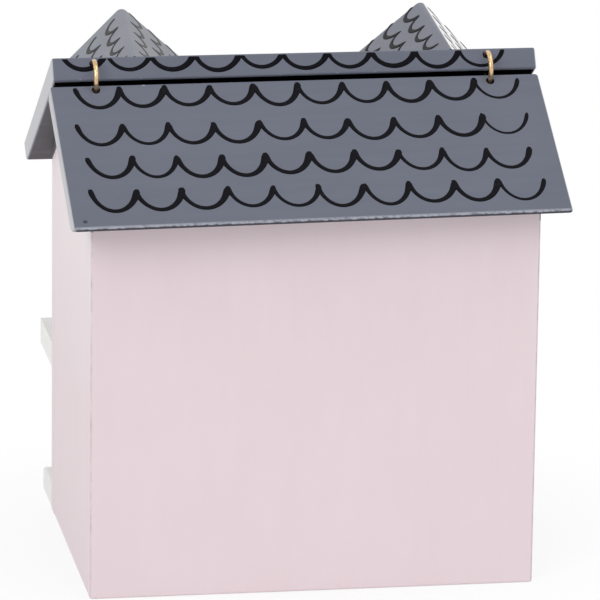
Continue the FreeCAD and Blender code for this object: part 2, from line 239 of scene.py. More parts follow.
near = reckon(rubbed_edge, "SUBTRACT", 1.0, near, clamp=True)
chips = noise(rubbed_edge, place, 330.0, 6.0, 0.7)
worn = reckon(rubbed_edge, "ADD", chips, reckon(rubbed_edge, "MULTIPLY_ADD", near, 0.5, -1.0))
worn = reckon(rubbed_edge, "ADD", worn, given.outputs["Amount"])
rubbed_edge.links.new(reckon(rubbed_edge, "MULTIPLY", worn, 9.0, clamp=True), made.inputs["Rub"])
rub_width = 0.0016


def painted(name, paints, gloss, centre, half, strokes, turn=(0, 0, 0), rub=-0.06, shine=0.35, mark=None):
    material, tree, shader, place = new_material(name)
    shader.inputs["Specular IOR Level"].default_value = shine
    full, thin, ground = paints
    seat = add(tree, "ShaderNodeMapping", [(0, place)], vector_type="TEXTURE", in_1=centre, in_2=turn)
    seat = seat.outputs[0]
    coat = add(tree, "ShaderNodeGroup", node_tree=brushed_paint)
    tree.links.new(seat, coat.inputs["Place"])
    for socket, value in (("Strokes", strokes), ("Colour", full), ("Thin", thin), ("Gloss", gloss)):
        coat.inputs[socket].default_value = value
    wear = add(tree, "ShaderNodeGroup", node_tree=rubbed_edge)
    tree.links.new(seat, wear.inputs["Place"])
    for socket, value in (("Half", half), ("Width", rub_width), ("Amount", rub)):
        wear.inputs[socket].default_value = value
    colour = coat.outputs["Colour"]
    if mark:
        colour = mark(tree, seat, colour)
    tree.links.new(blend_colour(tree, wear.outputs["Rub"], colour, ground), shader.inputs["Base Color"])
    rough = reckon(tree, "MULTIPLY_ADD", wear.outputs["Rub"], 0.25, coat.outputs["Roughness"])
    tree.links.new(rough, shader.inputs["Roughness"])
    height = reckon(tree, "MULTIPLY_ADD", wear.outputs["Rub"], -0.6, coat.outputs["Height"])
    roughen(tree, shader, height, 0.3, 0.0001)
    return material


def middle_and_half(node):
    low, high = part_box(node)
    return tuple((low + high) / 2), tuple((high - low) / 2)


def finish_board(node, easing, slot, coat_name, paints, gloss, strokes, **wear):
    centre, half = middle_and_half(node)
    finished = ease(shaped(node + "_finished", whole_faces(node)), easing)
    coat = painted(coat_name, paints, gloss, centre, half, strokes, **wear)
    stand_for(finished, [node], "house", slot, coat)


pink = (srgb(229, 213, 218), srgb(227, 210, 215), srgb(240, 236, 233))
upright_brush = (260, 260, 50)
pitch = math.radians(31.2)
ridge = 0.1195
roof_shade_grey = srgb(84, 82, 86)
corner_grime = srgb(184, 170, 177)
highlight_pink = srgb(243, 236, 238)
wall_half_width, wall_half_depth = 0.055, 0.038
wall_easing = 0.0006
roof_shade_depth = 0.0052
outside_from = 0.0545
most_top_highlight = 0.45


def wall_light_shade_and_marks(tree, seat, colour):
    place = add(tree, "ShaderNodeTexCoord").outputs["Object"]
    across, deep, up = add(tree, "ShaderNodeSeparateXYZ", [(0, place)]).outputs
    across, deep = reckon(tree, "ABSOLUTE", across), reckon(tree, "ABSOLUTE", deep)
    ragged = noise(tree, place, 260.0, 3.0)
    outside = reckon(tree, "SUBTRACT", across, outside_from)
    outside = reckon(tree, "MULTIPLY", outside, 4000.0, clamp=True)
    # painted highlight: the outsides are lighter towards the top
    top_highlight = reckon(tree, "MULTIPLY_ADD", up, 11.0, -0.5, clamp=True)
    top_highlight = reckon(tree, "MULTIPLY", reckon(tree, "MINIMUM", top_highlight, most_top_highlight), outside)
    colour = blend_colour(tree, top_highlight, colour, highlight_pink)
    from_end = reckon(tree, "SUBTRACT", wall_half_width, across)
    from_face = reckon(tree, "SUBTRACT", wall_half_depth, deep)
    to_corner = reckon(tree, "MAXIMUM", from_end, from_face)
    corner_line = reckon(tree, "MULTIPLY_ADD", to_corner, -4000.0, 2.2, clamp=True)
    broken = reckon(tree, "MULTIPLY_ADD", ragged, 1.6, -0.35, clamp=True)
    colour = blend_colour(tree, reckon(tree, "MULTIPLY", corner_line, broken), colour, corner_grime)
    # painted shade: a roof-grey band on the outsides just under the roof line
    roof_line = reckon(tree, "MULTIPLY_ADD", deep, -math.tan(pitch), ridge)
    below = reckon(tree, "MULTIPLY_ADD", ragged, 0.0012, reckon(tree, "SUBTRACT", roof_line, up))
    roof_shade = reckon(tree, "MULTIPLY", reckon(tree, "SUBTRACT", roof_shade_depth, below), 3000.0, clamp=True)
    return blend_colour(tree, reckon(tree, "MULTIPLY", roof_shade, outside), colour, roof_shade_grey)


wear = {"shine": 0.5, "mark": wall_light_shade_and_marks}
for wall in ("back_wall", "front_wall", "gable_wall_right", "gable_wall_left"):
    finish_board(wall, wall_easing, "pink_paint", wall + "_pink", pink, 0.42, upright_brush, **wear)


# Step and balcony slab: thicker boards as wide as the front, painted white.
# The step is glued on the ground; the slab hangs on three bare dowels through the wall.
white = (srgb(244, 243, 241), srgb(238, 237, 235), srgb(205, 190, 168))
slab_easing = 0.0007
slab_brush = (40, 300, 300)
for slab in ("front_step", "balcony_slab"):
    finish_board(slab, slab_easing, "white_paint", slab + "_white", white, 0.45, slab_brush, rub=-0.12)
dowel_light, dowel_dark = srgb(214, 188, 150), srgb(182, 148, 108)
dowel_grain = (500, 60, 500)
dress("balcony_dowels", bare_wood("bare_dowel", dowel_light, dowel_dark, dowel_grain))


# Doors and windows on the front: thin white plates glued to the wall.
# Their panes are sunk a little and filled in with grey paint; the knob is a brass ball.
plate_thick = 0.0015
pane_depth = 0.0007
plate_easing = 0.00022
plate_brush = (300, 300, 60)
pane_grey, pane_pale = srgb(126, 133, 148), srgb(143, 150, 163)


def sunk_panes(tree, seat, colour):
    deep = add(tree, "ShaderNodeSeparateXYZ", [(0, seat)]).outputs[1]
    back = plate_thick / 2 - (plate_thick - pane_depth)
    sunk = reckon(tree, "GREATER_THAN", deep, back - 0.0002)
    haze = noise(tree, seat, 160.0)
    return blend_colour(tree, sunk, colour, blend_colour(tree, haze, pane_grey, pane_pale))


plates = ["front_door", "balcony_door"]
plates += [level + "_window_" + side for level in ("lower", "upper") for side in ("right", "left")]
wear = {"rub": -0.2, "mark": sunk_panes}
for plate in plates:
    finish_board(plate, plate_easing, "joinery_paint", plate + "_paint", white, 0.42, plate_brush, **wear)


def brass(name):
    material, tree, shader, place = new_material(name)
    shader.inputs["Metallic"].default_value = 1.0
    haze = noise(tree, place, 700.0, 4.0)
    scratches = noise(tree, place, 4200.0)
    tarnish = reckon(tree, "MULTIPLY_ADD", haze, 2.4, -0.9, clamp=True)
    colour = blend_colour(tree, tarnish, srgb(236, 206, 160), srgb(176, 134, 88))
    tree.links.new(colour, shader.inputs["Base Color"])
    tree.links.new(reckon(tree, "MULTIPLY_ADD", haze, 0.22, 0.14), shader.inputs["Roughness"])
    roughen(tree, shader, scratches, 0.12, 0.00005)
    return material


bright_brass = brass("bright_brass")
knob_low, knob_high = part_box("door_knob")
knob_radius = (knob_high.x - knob_low.x) / 2
knob_form = bmesh.new()
knob_place = Matrix.Translation(knob_low + Vector((knob_radius, knob_radius, knob_radius)))
bmesh.ops.create_uvsphere(knob_form, u_segments=24, v_segments=16, radius=knob_radius, matrix=knob_place)
stand_for(shaped("door_knob_finished", knob_form), ["door_knob"], "house", "brass", bright_brass)


# Front roof board: a slightly thicker board, square where it laps over the ridge, eave undercut.
# Blue-grey paint on top, with painted shade on the underside: dark grey, near-black by the ridge as
# painted shadow in the gap. The coin slot is cut straight down, and a wire hole is drilled near each end.
# The square edge was planed by hand and droops towards +X.
board = 0.005
roof_half = 0.0602
front_slope = 0.0662
front_thick = 0.0056
front_mitre = math.radians(22)
slope_run, slope_rise = math.cos(pitch), math.sin(pitch)
lap = board / math.sin(2 * pitch)
ridge_edge = Vector((lap * slope_run, ridge + lap * slope_rise))
ridge_crest = ridge_edge + front_thick * Vector((-slope_rise, slope_run))
front_down = Vector((-slope_run, -slope_rise))


def roof_board(name, left_end, right_end, roundness):
    form = bmesh.new()
    ends = [[form.verts.new(corner) for corner in end] for end in (left_end, right_end)]
    form.faces.new(ends[0])
    form.faces.new(ends[1])
    for i in range(len(left_end)):
        here, there = (ends[0][i - 1], ends[1][i - 1]), (ends[0][i], ends[1][i])
        form.faces.new((here[0], there[0], there[1], here[1]))
    bmesh.ops.recalc_face_normals(form, faces=form.faces)
    return ease(shaped(name, form), roundness)


def drill(piece, cutters):
    for cutter in cutters:
        taking = piece.modifiers.new("cut", "BOOLEAN")
        taking.object = cutter
        taking.operation = "DIFFERENCE"
        taking.solver = "EXACT"
    settle(piece)
    for cutter in cutters:
        bpy.data.objects.remove(cutter)
    piece.data.set_sharp_from_angle(angle=math.radians(40))
    piece.modifiers.new("flat_faces", "WEIGHTED_NORMAL").keep_sharp = True
    settle(piece)


def peg(middle, direction, radius, length):
    form = bmesh.new()
    facing = Vector(direction).to_track_quat("Z", "Y").to_matrix().to_4x4()
    seat = Matrix.Translation(middle) @ facing
    rod = {"radius1": radius, "radius2": radius, "depth": length}
    bmesh.ops.create_cone(form, cap_ends=True, segments=24, matrix=seat, **rod)
    return shaped("peg", form)


front_profile = [
    ridge_edge,
    ridge_crest,
    ridge_crest + front_slope * front_down,
    ridge_edge + (front_slope - front_thick * math.tan(front_mitre)) * front_down,
]
front_ends = [[(x, *corner) for corner in front_profile] for x in (-roof_half, roof_half)]
strip_droop = 0.0006
front_ends[1][0] = (roof_half, *(ridge_edge + strip_droop * Vector((slope_rise, -slope_run))))
front_easing = 0.0006
front_board = roof_board("front_roof_board_finished", *front_ends, front_easing)
ring_sides = (("right", 1), ("left", -1))
ring_x = {sign: middle_and_half("hinge_ring_" + side)[0][0] for side, sign in ring_sides}
hinge = Vector(frame["joints"][0]["pos_m"])
ring_mean = 0.0038


def ring_hole(sign, turn, share, radius, length):
    reach = share * ring_mean
    spot = (ring_x[sign], hinge.y + reach * math.cos(turn), hinge.z + reach * math.sin(turn))
    return peg(spot, (0, -math.sin(turn), math.cos(turn)), radius, length)


slot_long, slot_wide, slot_setback = 0.032, 0.005, 0.022
slot_cut_tall, slot_cut_middle = 0.03, 0.109
slot_form = bmesh.new()
bmesh.ops.create_cube(slot_form, size=1.0)
bmesh.ops.scale(slot_form, vec=(slot_long, slot_wide, slot_cut_tall), verts=slot_form.verts)
bmesh.ops.translate(slot_form, vec=(0, -slot_setback, slot_cut_middle), verts=slot_form.verts)
strip_hole = {"turn": math.radians(138), "share": 0.97, "radius": 0.00095, "length": 0.0045}
cutters = [shaped("slot_cut", slot_form)]
cutters += [ring_hole(sign, **strip_hole) for sign in ring_x]
drill(front_board, cutters)
slate = (srgb(103, 107, 121), srgb(98, 102, 115), srgb(196, 195, 196))
end_sheen_grey = srgb(190, 191, 194)
end_rim = 0.0004


# Painted reflection: the boards' end faces are painted paler grey for the sheen they catch at a grazing
# angle.
def painted_end_sheen(tree, seat, colour, half_length=roof_half):
    across = add(tree, "ShaderNodeSeparateXYZ", [(0, seat)]).outputs[0]
    rim = reckon(tree, "SUBTRACT", reckon(tree, "ABSOLUTE", across), half_length - end_rim)
    return blend_colour(tree, reckon(tree, "MULTIPLY", rim, 4000.0, clamp=True), colour, end_sheen_grey)


def slate_coat(name, seat, half, mark):
    place, turn = tuple(seat.translation), tuple(seat.to_euler())
    return painted(name, slate, 0.4, place, half, (40, 420, 420), turn, shine=0.25, mark=mark)


# Painted shade: roof undersides are dark grey for the shade under the boards, and near-black near the
# ridge as painted shadow in the gap.
underside_shade_greys = (srgb(108, 106, 110), srgb(118, 116, 120))
ridge_shadow_black = srgb(12, 12, 15)
ridge_shadow_depth = 0.004


def shaded_underside_paint(name, greys, dark):
    material, tree, shader, place = new_material(name)
    shader.inputs["Specular IOR Level"].default_value = 0.0
    up = add(tree, "ShaderNodeSeparateXYZ", [(0, place)]).outputs[2]
    # painted shadow: near-black towards the ridge, where the gap falls dark
    ridge_shadow_mask = reckon(tree, "MULTIPLY_ADD", up, 250.0, -250.0 * (ridge - ridge_shadow_depth), clamp=True)
    brush = add(tree, "ShaderNodeMapping", [(0, place)], in_3=(30, 400, 400)).outputs[0]
    streaks = noise(tree, brush, 1.0, 4.0)
    cover = reckon(tree, "MULTIPLY_ADD", streaks, 1.6, -0.4, clamp=True)
    coat = blend_colour(tree, cover, *greys)
    tree.links.new(blend_colour(tree, ridge_shadow_mask, coat, dark), shader.inputs["Base Color"])
    tree.links.new(reckon(tree, "MULTIPLY_ADD", streaks, 0.2, 0.75), shader.inputs["Roughness"])
    roughen(tree, shader, streaks, 0.3, 0.0001)
    return material


def give_underside_shade(piece, down):
    piece.data.materials.append(underside_shade_paint)
    for face in piece.data.polygons:
        if face.normal.dot(Vector(down)) > 0.97:
            face.material_index = 1


underside_shade_paint = shaded_underside_paint("roof_underside_painted_shade", underside_shade_greys, ridge_shadow_black)
front_middle = (front_profile[1] + front_profile[2]) / 2 + (ridge_edge - ridge_crest) / 2
front_seat = Matrix.Translation((0, *front_middle)) @ Matrix.Rotation(pitch, 4, "X")
front_half = (roof_half, front_slope / 2, front_thick / 2)
front_coat = slate_coat("front_slate_paint", front_seat, front_half, painted_end_sheen)
stand_for(front_board, ["front_roof_board"], "house", "roof_paint", front_coat)
give_underside_shade(front_board, (0, slope_rise, -slope_run))


# Dormers: a pink block scribed to the roof, two slate roof leaves mitred along a soft ridge,
# and a small white window plate. Each was set by hand, a few degrees out of true.
# The right one has more sheen, and the left one's -X leaf was varnished.
dormer_length = 0.0584
dormer_verge = 0.005
dormer_pitch = math.radians(43.4)
dormer_half = 0.017
dormer_top = (ridge_crest.x - 0.00019, ridge_crest.y + 0.0001)
dormers = {"right": (0.0397, 2.2, -4.55), "left": (-0.0391, -3.2, -3.5)}
leaf_shine = {"right": 0.55, "left": 0.25}
leaf_brush = (420, 40, 420)
dormer_easing = 0.0004
soft_ridge = 0.0016
window_half_wide, window_half_tall, window_drop = 0.006, 0.0065, 0.0175
same_place = 2e-5


def dormer_seat(side):
    spread, lean, turn = dormers[side]
    turned = Matrix.Rotation(math.radians(turn), 4, "Z") @ Matrix.Rotation(math.radians(lean), 4, "Y")
    return Matrix.Translation((spread, *dormer_top)) @ turned


def dormer_roof(side):
    seat = dormer_seat(side)
    back = seat.inverted()
    form = bmesh.new()
    for hand in ("outer", "inner"):
        leaf = whole_faces("dormer_leaf_%s_%s" % (hand, side))
        loose = bpy.data.meshes.new("leaf")
        leaf.to_mesh(loose)
        leaf.free()
        form.from_mesh(loose)
        bpy.data.meshes.remove(loose)
    bmesh.ops.remove_doubles(form, verts=form.verts, dist=5e-6)
    on_mitre = {vert for vert in form.verts if abs((back @ vert.co).x) < same_place}
    mitred = [face for face in form.faces if on_mitre.issuperset(face.verts)]
    bmesh.ops.delete(form, geom=mitred, context="FACES")
    bmesh.ops.remove_doubles(form, verts=form.verts, dist=5e-6)
    at_top = set()
    for vert in form.verts:
        local = back @ vert.co
        if abs(local.x) < same_place and abs(local.z) < same_place:
            at_top.add(vert)
    top = [edge for edge in form.edges if at_top.issuperset(edge.verts)]
    bmesh.ops.bevel(form, geom=top, offset=soft_ridge, segments=4, profile=0.5, affect="EDGES")
    return ease(shaped("dormer_roof_" + side, form), dormer_easing)


for side in dormers:
    seat = dormer_seat(side)
    turn = tuple(seat.to_euler())
    block = "dormer_block_" + side
    finish_board(block, dormer_easing, "pink_paint", block + "_pink", pink, 0.5, upright_brush, rub=-0.2)
    leaves = ["dormer_leaf_outer_" + side, "dormer_leaf_inner_" + side]
    leaf_fall = dormer_half * math.tan(dormer_pitch)
    middle = tuple(seat @ Vector((0, -dormer_length / 2, -leaf_fall / 2)))
    size = (dormer_half, dormer_length / 2, 0.01)
    brushed = {"strokes": leaf_brush, "turn": turn, "rub": -0.2, "shine": leaf_shine[side]}
    coat = painted("dormer_slate_" + side, slate, 0.4, middle, size, **brushed)
    leaves_finished = dormer_roof(side)
    stand_for(leaves_finished, leaves, "house", "roof_paint", coat)
    if side == "left":
        varnished = painted("dormer_varnished_leaf", slate, 0.2, middle, size, **brushed)
        varnish = varnished.node_tree.nodes["Principled BSDF"].inputs
        varnish["Coat Weight"].default_value = 1.0
        varnish["Coat Roughness"].default_value = 0.08
        leaves_finished.data.materials.append(varnished)
        for face in leaves_finished.data.polygons:
            if (seat.to_3x3().inverted() @ face.normal).x < -0.5:
                face.material_index = 1
    window = "dormer_window_" + side
    front = -(dormer_length - dormer_verge) - plate_thick / 2
    middle = tuple(seat @ Vector((0, front, -window_drop)))
    finished = ease(shaped(window + "_finished", whole_faces(window)), plate_easing)
    size = (window_half_wide, plate_thick / 2, window_half_tall)
    wear = {"turn": turn, "rub": -0.2, "mark": sunk_panes}
    coat = painted(window + "_paint", white, 0.42, middle, size, plate_brush, **wear)
    stand_for(finished, [window], "house", "joinery_paint", coat)


# Rear roof board, the lid: the same board and paint, square below an open gap, undercut eave.
# Its top edge creeps towards the ridge at the -X end. A slanting hole near each top corner
# lets the wire ring turn, so the board swings up.
lid_slope = 0.0492
lid_long = 0.1215
lid_skew = math.radians(0.9)
lid_shift = 0.0005
lid_creep = 0.0007
ridge_gap = 0.00215
rear_down = Vector((slope_run, -slope_rise))
lid_top = ridge_edge + ridge_gap * rear_down
lid_place = Matrix.Translation((0, *lid_top)) @ Matrix.Rotation(-pitch, 4, "X")
lid_board = lid_place @ Matrix.Translation((lid_shift, 0, 0)) @ Matrix.Rotation(lid_skew, 4, "Z")


def lid_end(x):
    trimmed = -x * math.tan(lid_skew) - lid_creep * (0.5 - x / lid_long)
    corners = ((trimmed, -board), (trimmed, 0), (lid_slope, 0), (lid_slope - board, -board))
    return [lid_board @ Vector((x, down, out)) for down, out in corners]


lid_easing = 0.0009
lid = roof_board("rear_roof_lid_finished", lid_end(-lid_long / 2), lid_end(lid_long / 2), lid_easing)
lid_hole = {"turn": -pitch - math.radians(32.3), "share": 0.956, "radius": 0.00105, "length": 0.0114}
drill(lid, [ring_hole(sign, **lid_hole) for sign in ring_x])
eave_highlight_and_chip_slate, shadow_and_speck_ink = srgb(156, 159, 169), srgb(58, 59, 68)


# Eave: the paler band is a painted highlight on the rounded edge with chips of wear in it, and the dark
# lip below it is painted shadow. The speck is a real fleck of ink.
def eave_light_shade_and_chips(tree, seat, colour):
    down = add(tree, "ShaderNodeSeparateXYZ", [(0, seat)]).outputs[1]
    flecks = noise(tree, seat, 900.0, 3.0)
    to_edge = reckon(tree, "SUBTRACT", lid_slope / 2, down)
    to_edge = reckon(tree, "MULTIPLY_ADD", reckon(tree, "SUBTRACT", flecks, 0.5), 0.0006, to_edge)
    eave_highlight_band = reckon(tree, "MULTIPLY_ADD", to_edge, -2500.0, 4.4, clamp=True)
    eave_shadow_lip = reckon(tree, "MULTIPLY_ADD", to_edge, -5000.0, 4.2, clamp=True)
    tone = reckon(tree, "MULTIPLY", eave_highlight_band, reckon(tree, "MULTIPLY_ADD", flecks, 3.0, -0.7, clamp=True))
    colour = blend_colour(tree, tone, painted_end_sheen(tree, seat, colour, lid_long / 2), eave_highlight_and_chip_slate)
    colour = blend_colour(tree, eave_shadow_lip, colour, shadow_and_speck_ink)
    from_speck = add(tree, "ShaderNodeVectorMath", [(0, seat)], operation="DISTANCE", in_1=ink_speck)
    speck = reckon(tree, "MULTIPLY_ADD", from_speck.outputs["Value"], -5000.0, 3.2, clamp=True)
    return blend_colour(tree, speck, colour, shadow_and_speck_ink)


lid_seat = lid_board @ Matrix.Translation((0, lid_slope / 2, -board / 2))
ink_speck = lid_seat.inverted() @ lid_place @ Vector((0.0575, 0.0468, 0))
lid_half = (lid_long / 2, lid_slope / 2, board / 2)
lid_coat = slate_coat("lid_slate_paint", lid_seat, lid_half, eave_light_shade_and_chips)
stand_for(lid, ["rear_roof_lid"], "lid", "roof_paint", lid_coat)
give_underside_shade(lid, (0, -slope_rise, -slope_run))


# Hinge rings: soft brass wire bent round through both boards and left bright.
# The front board grips them; the lid hangs on them and turns.
wire_radius = 0.0006


def wire_ring(name, sign):
    form = bmesh.new()
    around, about = 64, 14
    loops = []
    for i in range(around):
        turn = math.tau * i / around
        outward = Vector((0, math.cos(turn), math.sin(turn)))
        heart = Vector((ring_x[sign], hinge.y, hinge.z)) + ring_mean * outward
        loop = []
        for j in range(about):
            roll = math.tau * j / about
            from_heart = math.cos(roll) * outward + Vector((math.sin(roll), 0, 0))
            loop.append(form.verts.new(heart + wire_radius * from_heart))
        loops.append(loop)
    for i in range(around):
        here, there = loops[i], loops[(i + 1) % around]
        for j in range(about):
            k = (j + 1) % about
            form.faces.new((here[j], here[k], there[k], there[j]))
    bmesh.ops.recalc_face_normals(form, faces=form.faces)
    return shaped(name, form)


for side, sign in ring_sides:
    ring = wire_ring("hinge_ring_%s_finished" % side, sign)
    stand_for(ring, ["hinge_ring_" + side], "house", "brass", bright_brass)


# Painted scallops: rows of brush strokes in near-black paint, one round stroke to each scale.
# A stroke starts thin and ends heavy where the next begins; the last in a row may run dry.
strokes = bpy.data.node_groups.new("scallop_strokes", "GeometryNodeTree")
strokes.interface.new_socket("Geometry", in_out="INPUT", socket_type="NodeSocketGeometry")
for socket, kind in (
    ("Cups", "NodeSocketInt"),
    ("Rows", "NodeSocketInt"),
    ("Cup pitch", "NodeSocketFloat"),
    ("Row pitch", "NodeSocketFloat"),
    ("Depth", "NodeSocketFloat"),
    ("Brush", "NodeSocketFloat"),
    ("Tilt", "NodeSocketFloat"),
    ("Dry end", "NodeSocketFloat"),
    ("Seed", "NodeSocketInt"),
    ("Paint", "NodeSocketMaterial"),
):
    strokes.interface.new_socket(socket, in_out="INPUT", socket_type=kind)
strokes.interface.new_socket("Geometry", in_out="OUTPUT", socket_type="NodeSocketGeometry")
sizes = strokes.nodes.new("NodeGroupInput").outputs
done = strokes.nodes.new("NodeGroupOutput")


def any_value(low, high, shift, vector=False):
    node = add(strokes, "FunctionNodeRandomValue", data_type="FLOAT_VECTOR" if vector else "FLOAT")
    first = 0 if vector else 2
    node.inputs[first].default_value = low
    node.inputs[first + 1].default_value = high
    strokes.links.new(reckon(strokes, "ADD", sizes["Seed"], shift), node.inputs["Seed"])
    return node.outputs[0 if vector else 1]


grid = add(strokes, "GeometryNodeMeshGrid")
width = reckon(strokes, "MULTIPLY", reckon(strokes, "SUBTRACT", sizes["Cups"], 1.0), sizes["Cup pitch"])
height = reckon(strokes, "MULTIPLY", reckon(strokes, "SUBTRACT", sizes["Rows"], 1.0), sizes["Row pitch"])
for source, socket in (
    (width, "Size X"),
    (height, "Size Y"),
    (sizes["Cups"], "Vertices X"),
    (sizes["Rows"], "Vertices Y"),
):
    strokes.links.new(source, grid.inputs[socket])
cup_spot = add(strokes, "GeometryNodeInputPosition").outputs[0]
spot_x = add(strokes, "ShaderNodeSeparateXYZ", [(0, cup_spot)]).outputs[0]
last = reckon(strokes, "SUBTRACT", reckon(strokes, "MULTIPLY", width, 0.5), spot_x)
last = reckon(strokes, "LESS_THAN", last, reckon(strokes, "MULTIPLY", sizes["Cup pitch"], 0.25))
dry = reckon(strokes, "MULTIPLY", last, sizes["Dry end"])
load = reckon(strokes, "MULTIPLY", any_value(0.84, 1.14, 7.0), reckon(strokes, "SUBTRACT", 1.0, dry))
slant = reckon(strokes, "MULTIPLY", spot_x, sizes["Tilt"])
slant = add(strokes, "ShaderNodeCombineXYZ", [(1, slant)]).outputs[0]
hand = any_value((-0.0002, -0.0003, 0.0), (0.0002, 0.0003, 0.0), 0.0, vector=True)
drift = add(strokes, "ShaderNodeVectorMath", [(0, hand), (1, slant)], operation="ADD").outputs[0]
laden = add(strokes, "GeometryNodeStoreNamedAttribute", [(0, grid.outputs[0])], data_type="FLOAT")
laden.domain = "POINT"
laden.inputs["Name"].default_value = "paint_load"
strokes.links.new(load, laden.inputs["Value"])
spots = add(strokes, "GeometryNodeSetPosition", [(0, laden.outputs[0]), (3, drift)])
bow_half = math.radians(80)
bow_sag = 1 - math.cos(bow_half)
bow = add(strokes, "GeometryNodeCurveArc")
bow.inputs["Resolution"].default_value = 28
bow.inputs["Radius"].default_value = 1.0
bow.inputs["Start Angle"].default_value = 1.5 * math.pi - bow_half
bow.inputs["Sweep Angle"].default_value = 2 * bow_half
half_cup = reckon(strokes, "MULTIPLY", sizes["Cup pitch"], 0.5 / math.sin(bow_half))
sag = reckon(strokes, "MULTIPLY", sizes["Depth"], 1 / bow_sag)
cup_size = add(strokes, "ShaderNodeCombineXYZ", [(0, half_cup), (1, sag)], in_2=1.0)
cup_lift = add(strokes, "ShaderNodeCombineXYZ", [(1, reckon(strokes, "MULTIPLY", sag, 1 - bow_sag))])
cup = add(strokes, "GeometryNodeTransform", [(0, bow.outputs[0])])
strokes.links.new(cup_lift.outputs[0], cup.inputs["Translation"])
strokes.links.new(cup_size.outputs[0], cup.inputs["Scale"])
scales = add(strokes, "GeometryNodeInstanceOnPoints", [(0, spots.outputs[0]), (2, cup.outputs[0])])
wobble = any_value((0.98, 0.95, 1.0), (1.03, 1.06, 1.0), 21.0, vector=True)
strokes.links.new(wobble, scales.inputs["Scale"])
swing = add(strokes, "ShaderNodeCombineXYZ", [(2, any_value(-0.05, 0.05, 31.0))])
strokes.links.new(swing.outputs[0], scales.inputs["Rotation"])
real = add(strokes, "GeometryNodeRealizeInstances", [(0, scales.outputs[0])])
press = add(strokes, "ShaderNodeFloatCurve")
strokes.links.new(add(strokes, "GeometryNodeSplineParameter").outputs["Factor"], press.inputs[1])
brush_curve = press.mapping.curves[0]
brush_curve.points[0].location = (0.0, 0.5)
brush_curve.points[1].location = (1.0, 0.5)
for spot in ((0.04, 0.8), (0.2, 0.68), (0.5, 0.72), (0.78, 0.86), (0.92, 1.0), (0.97, 0.85)):
    brush_curve.points.new(*spot)
press.mapping.update()
held = add(strokes, "GeometryNodeInputNamedAttribute", data_type="FLOAT")
held.inputs["Name"].default_value = "paint_load"
broad = reckon(strokes, "MULTIPLY", press.outputs[0], held.outputs[0])
broad = reckon(strokes, "MULTIPLY", broad, sizes["Brush"])
upright = add(strokes, "GeometryNodeSetCurveNormal", [(0, real.outputs[0])], mode="Z_UP")
bristle = add(strokes, "GeometryNodeCurvePrimitiveCircle")
bristle.inputs["Resolution"].default_value = 8
bristle.inputs["Radius"].default_value = 1.0
flat_bristle = add(strokes, "GeometryNodeTransform", [(0, bristle.outputs[0])])
flat_bristle.inputs["Scale"].default_value = (1.0, 0.16, 1.0)
ribbon = add(strokes, "GeometryNodeCurveToMesh", [(0, upright.outputs[0]), (1, flat_bristle.outputs[0])])
ribbon.inputs["Fill Caps"].default_value = True
strokes.links.new(broad, ribbon.inputs["Scale"])
gathered = add(strokes, "GeometryNodeRealizeInstances", [(0, ribbon.outputs[0])])
inked = add(strokes, "GeometryNodeSetMaterial", [(0, gathered.outputs[0])])
strokes.links.new(sizes["Paint"], inked.inputs["Material"])
strokes.links.new(inked.outputs[0], done.inputs[0])


def ink_paint(name, shine, varnish):
    material, tree, shader, place = new_material(name)
    shader.inputs["Specular IOR Level"].default_value = shine
    shader.inputs["Coat Weight"].default_value = varnish
    shader.inputs["Coat Roughness"].default_value = 0.08
    hairs = noise(tree, place, 900.0, 4.0)
    dragged = reckon(tree, "MULTIPLY_ADD", hairs, 4.0, -2.4, clamp=True)
    colour = blend_colour(tree, dragged, srgb(14, 14, 19), srgb(34, 35, 43))
    tree.links.new(colour, shader.inputs["Base Color"])
    tree.links.new(reckon(tree, "MULTIPLY_ADD", hairs, 0.2, 0.38), shader.inputs["Roughness"])
    roughen(tree, shader, hairs, 0.3, 0.00006)
    return material


ink = ink_paint("scallop_ink_paint", 0.05, 0.0)
glossy_ink = ink_paint("scallop_ink_varnished", 0.05, 1.0)
satin_ink = ink_paint("scallop_ink_satin", 0.14, 0.0)
faint_ink = ink_paint("scallop_ink_faint", 0.36, 0.0)


def islands(form):
    form.verts.ensure_lookup_table()
    seen = set()
    for first in form.verts:
        if first in seen:
            continue
        isle, queue = [], [first]
        seen.add(first)
        while queue:
            vert = queue.pop()
            isle.append(vert)
            for edge in vert.link_edges:
                other = edge.other_vert(vert)
                if other not in seen:
                    seen.add(other)
                    queue.append(other)
        yield isle


def brush_rows(name, body, seats, keep=None, shear=None, **row_sizes):
    usual = {"Rows": 1, "Brush": roof_brush, "Tilt": 0.0, "Dry end": 0.0, "Paint": ink}
    usual.update({key.replace("_", " "): value for key, value in row_sizes.items()})
    form = bmesh.new()
    for count, (seat, own_sizes) in enumerate(seats):
        carrier = bpy.data.objects.new(name, bpy.data.meshes.new(name))
        bpy.context.scene.collection.objects.link(carrier)
        brushing = carrier.modifiers.new("brushing", "NODES")
        brushing.node_group = strokes
        settings = {**usual, "Seed": usual["Seed"] + 100 * count, **own_sizes}
        for item in strokes.interface.items_tree:
            if item.in_out == "INPUT" and item.name in settings:
                brushing[item.identifier] = settings[item.name]
        settle(carrier)
        carrier.data.transform(seat)
        form.from_mesh(carrier.data)
        bpy.data.objects.remove(carrier)
    if keep:
        lost = [vert for isle in islands(form) if not all(keep(v.co) for v in isle) for vert in isle]
        bmesh.ops.delete(form, geom=lost, context="VERTS")
    if shear:
        spot, out = shear
        everything = form.verts[:] + form.edges[:] + form.faces[:]
        bmesh.ops.bisect_plane(form, geom=everything, plane_co=spot, plane_no=out, clear_outer=True)
        bmesh.ops.holes_fill(form, edges=[edge for edge in form.edges if edge.is_boundary])
    piece = shaped(name, form)
    piece.data.materials.append(usual["Paint"])
    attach(piece, body)


